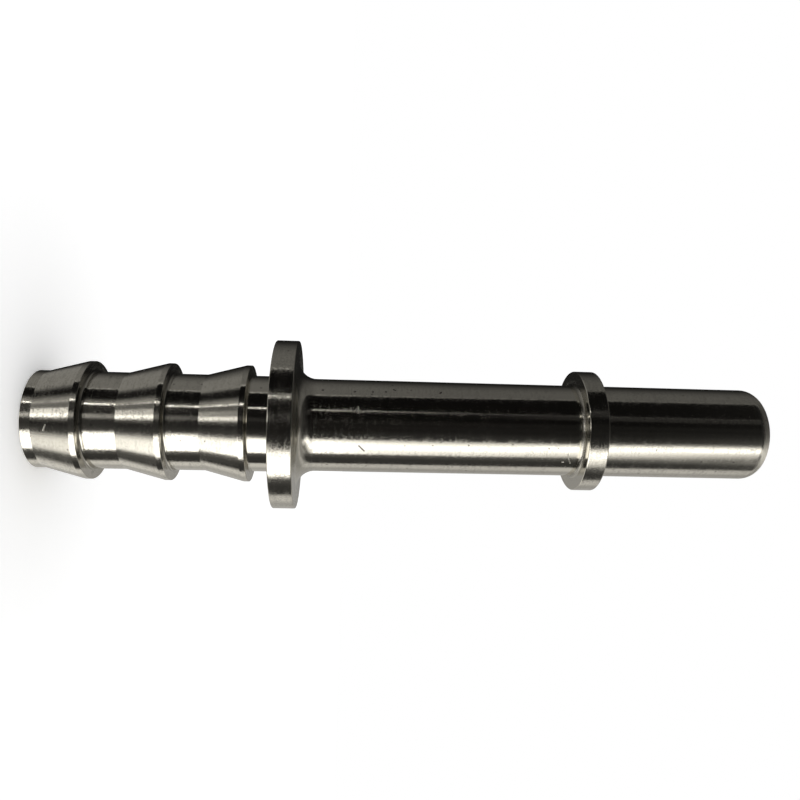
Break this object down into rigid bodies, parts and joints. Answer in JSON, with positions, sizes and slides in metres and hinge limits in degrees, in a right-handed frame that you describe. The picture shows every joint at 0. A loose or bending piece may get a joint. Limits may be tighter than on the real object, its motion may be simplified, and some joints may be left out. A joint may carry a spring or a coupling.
{
  "type": "hose barb tail",
  "caption": "One-piece turned steel hose tail: barbed stem and stop flange for a hose, with a beaded round-nosed spigot for a quick connector.",
  "frame": {"origin": "centre of the barb end face, on which the part stands", "axes": "+Z along the axis from the barb end to the spigot's nose; round about Z, so X and Y are free"},
  "size_m": [0.0172, 0.0172, 0.0742],
  "materials": {
    "turned_steel": "bare stainless steel as turned, with fine tool marks round the axis"
  },
  "bodies": {
    "root": {"hose_barb_tail": "turned_steel"}
  },
  "joints": []
}
